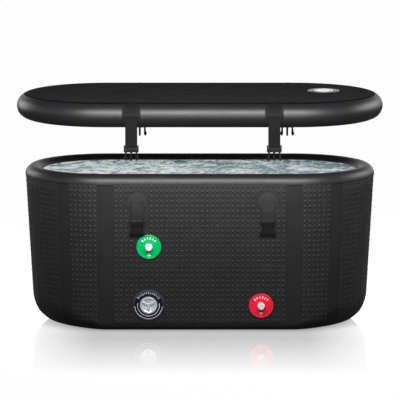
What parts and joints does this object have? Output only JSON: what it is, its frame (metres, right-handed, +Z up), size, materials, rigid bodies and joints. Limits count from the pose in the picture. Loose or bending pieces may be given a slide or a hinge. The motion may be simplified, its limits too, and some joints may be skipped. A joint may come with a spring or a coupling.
{
  "type": "cold plunge tub",
  "caption": "Inflatable oval ice bath with a dotted wall, coloured water ports, air valves and a padded lid raised above the rim on buckle straps.",
  "frame": {"origin": "on the floor, under the middle of the tub", "axes": "+X along the tub, +Y from the front with its water ports to the rear, +Z up"},
  "size_m": [1.57, 0.793, 0.9888],
  "materials": {
    "coated_fabric": "satin PVC-coated polyester",
    "grip_foam": "embossed dots, satin",
    "webbing": "woven polyester",
    "nylon": "moulded, fine grain",
    "rubber": "matt",
    "white_plastic": "moulded",
    "green_plastic": "moulded, satin",
    "red_plastic": "moulded, satin",
    "black_plastic": "moulded, satin",
    "navy_plastic": "moulded",
    "silver_plastic": "moulded, pearl",
    "spring_steel": "bright wire"
  },
  "bodies": {
    "tub": {"wall_front": "coated_fabric", "wall_left": "coated_fabric", "wall_right": "coated_fabric", "rim_band": "coated_fabric", "base_pan": "coated_fabric", "floor_panel": "coated_fabric", "inlet_boss": "coated_fabric", "drain_boss": "coated_fabric", "tub_valve_boss": "coated_fabric", "grip_pad_front": "grip_foam", "grip_pad_rear": "grip_foam", "grip_pad_front_left": "grip_foam", "grip_pad_front_right": "grip_foam", "grip_pad_rear_left": "grip_foam", "grip_pad_rear_right": "grip_foam", "grip_pad_left_end": "grip_foam", "grip_pad_right_end": "grip_foam", "inlet_flange": "green_plastic", "inlet_spigot": "white_plastic", "drain_flange": "red_plastic", "drain_spigot": "white_plastic", "tub_valve_body": "navy_plastic", "tub_valve_spring": "spring_steel", "tub_patch_front_left": "coated_fabric", "tub_patch_front_right": "coated_fabric", "tub_patch_rear_left": "coated_fabric", "tub_patch_rear_right": "coated_fabric"},
    "lid": {"lid_core": "coated_fabric", "lid_edge_rail": "coated_fabric", "lid_top_deck": "grip_foam", "lid_valve_body": "black_plastic", "lid_valve_spring": "spring_steel", "lid_patch_front_left": "coated_fabric", "lid_patch_front_right": "coated_fabric", "lid_patch_rear_left": "coated_fabric", "lid_patch_rear_right": "coated_fabric"},
    "inlet_plug": {"inlet_plug": "white_plastic"},
    "drain_plug": {"drain_plug": "white_plastic"},
    "tub_valve_seal": {"tub_valve_seal": "rubber"},
    "tub_valve_cap": {"tub_valve_cap": "silver_plastic"},
    "tub_valve_pin": {"tub_valve_pin": "white_plastic"},
    "lid_valve_seal": {"lid_valve_seal": "rubber"},
    "lid_valve_cap": {"lid_valve_cap": "white_plastic"},
    "lid_valve_pin": {"lid_valve_pin": "white_plastic"},
    "tub_strap_front_left": {"tub_webbing_front_left": "webbing", "tub_buckle_front_left": "nylon"},
    "lid_strap_front_left": {"lid_webbing_front_left": "webbing", "lid_buckle_front_left": "nylon"},
    "tub_strap_front_right": {"tub_webbing_front_right": "webbing", "tub_buckle_front_right": "nylon"},
    "lid_strap_front_right": {"lid_webbing_front_right": "webbing", "lid_buckle_front_right": "nylon"},
    "tub_strap_rear_left": {"tub_webbing_rear_left": "webbing", "tub_buckle_rear_left": "nylon"},
    "lid_strap_rear_left": {"lid_webbing_rear_left": "webbing", "lid_buckle_rear_left": "nylon"},
    "tub_strap_rear_right": {"tub_webbing_rear_right": "webbing", "tub_buckle_rear_right": "nylon"},
    "lid_strap_rear_right": {"lid_webbing_rear_right": "webbing", "lid_buckle_rear_right": "nylon"}
  },
  "joints": [
    {"name": "lid_lift", "type": "slide", "parent": "tub", "child": "lid", "axis": [0, 0, 1], "range_m": [-0.2015, 0.1]},
    {"name": "lid_strap_front_left_swing", "type": "hinge", "parent": "lid", "child": "lid_strap_front_left", "pos_m": [-0.289, -0.38785, 0.93], "axis": [-1, 0, 0], "range_deg": [0, 100]},
    {"name": "lid_strap_front_right_swing", "type": "hinge", "parent": "lid", "child": "lid_strap_front_right", "pos_m": [0.314, -0.38785, 0.93], "axis": [-1, 0, 0], "range_deg": [0, 100]},
    {"name": "lid_strap_rear_left_swing", "type": "hinge", "parent": "lid", "child": "lid_strap_rear_left", "pos_m": [-0.263, 0.38785, 0.93], "axis": [1, 0, 0], "range_deg": [0, 100]},
    {"name": "lid_strap_rear_right_swing", "type": "hinge", "parent": "lid", "child": "lid_strap_rear_right", "pos_m": [0.383, 0.38785, 0.93], "axis": [1, 0, 0], "range_deg": [0, 100]},
    {"name": "tub_strap_front_left_flip", "type": "hinge", "parent": "tub", "child": "tub_strap_front_left", "pos_m": [-0.266, -0.34585, 0.5142], "axis": [-1, 0, 0], "range_deg": [0, 150]},
    {"name": "tub_strap_front_right_flip", "type": "hinge", "parent": "tub", "child": "tub_strap_front_right", "pos_m": [0.289, -0.34585, 0.5142], "axis": [-1, 0, 0], "range_deg": [0, 150]},
    {"name": "tub_strap_rear_left_flip", "type": "hinge", "parent": "tub", "child": "tub_strap_rear_left", "pos_m": [-0.263, 0.34585, 0.5142], "axis": [1, 0, 0], "range_deg": [0, 150]},
    {"name": "tub_strap_rear_right_flip", "type": "hinge", "parent": "tub", "child": "tub_strap_rear_right", "pos_m": [0.383, 0.34585, 0.5142], "axis": [1, 0, 0], "range_deg": [0, 150]},
    {"name": "inlet_plug_pull", "type": "slide", "parent": "tub", "child": "inlet_plug", "axis": [0, -0.9984, -0.0569], "range_m": [0, 0.045]},
    {"name": "drain_plug_pull", "type": "slide", "parent": "tub", "child": "drain_plug", "axis": [0, -0.9984, -0.0569], "range_m": [0, 0.045]},
    {"name": "tub_valve_cap_lift", "type": "slide", "parent": "tub", "child": "tub_valve_seal", "axis": [0, -0.9984, -0.0569], "range_m": [0, 0.025]},
    {"name": "tub_valve_cap_twist", "type": "hinge", "parent": "tub_valve_seal", "child": "tub_valve_cap", "pos_m": [-0.218, -0.31858, 0.11187], "axis": [0, -0.9984, -0.0569], "range_deg": [0, 90]},
    {"name": "tub_valve_pin_press", "type": "slide", "parent": "tub", "child": "tub_valve_pin", "axis": [0, 0.9984, 0.0569], "range_m": [0, 0.004], "stiffness_N_per_m": 900, "deforming": ["tub_valve_spring"]},
    {"name": "lid_valve_cap_lift", "type": "slide", "parent": "lid", "child": "lid_valve_seal", "axis": [0, 0, 1], "range_m": [0, 0.025]},
    {"name": "lid_valve_cap_twist", "type": "hinge", "parent": "lid_valve_seal", "child": "lid_valve_cap", "pos_m": [0.532, 0.043, 0.9833], "axis": [0, 0, 1], "range_deg": [0, 90]},
    {"name": "lid_valve_pin_press", "type": "slide", "parent": "lid", "child": "lid_valve_pin", "axis": [0, 0, -1], "range_m": [0, 0.004], "stiffness_N_per_m": 900, "deforming": ["lid_valve_spring"]}
  ]
}
